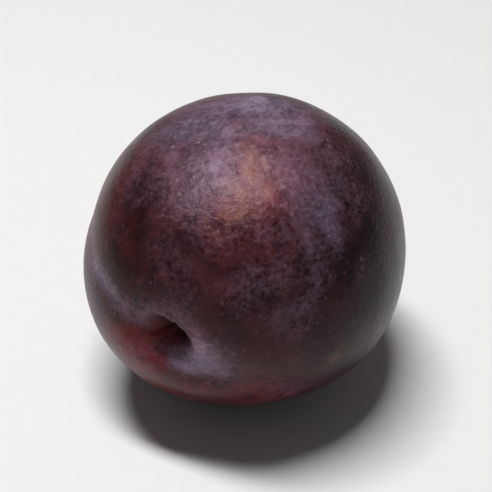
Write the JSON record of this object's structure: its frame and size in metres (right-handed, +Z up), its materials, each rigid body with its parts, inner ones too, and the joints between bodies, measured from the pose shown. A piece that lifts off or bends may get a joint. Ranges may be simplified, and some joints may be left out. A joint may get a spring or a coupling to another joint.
{
  "type": "plum",
  "caption": "Ripe dark purple plum lying on its cheek, with an empty stem cavity, a suture line and a waxy bloom on the skin.",
  "frame": {"origin": "on the surface that the plum rests on, under the middle of its bounding box", "axes": "+Z up; the stem end points towards -Y, turned 23.6 degrees to -X, and the suture side points towards -X"},
  "size_m": [0.052, 0.0544, 0.0488],
  "materials": {
    "plum_skin": "satin"
  },
  "bodies": {
    "root": {"plum": "plum_skin"}
  },
  "joints": []
}
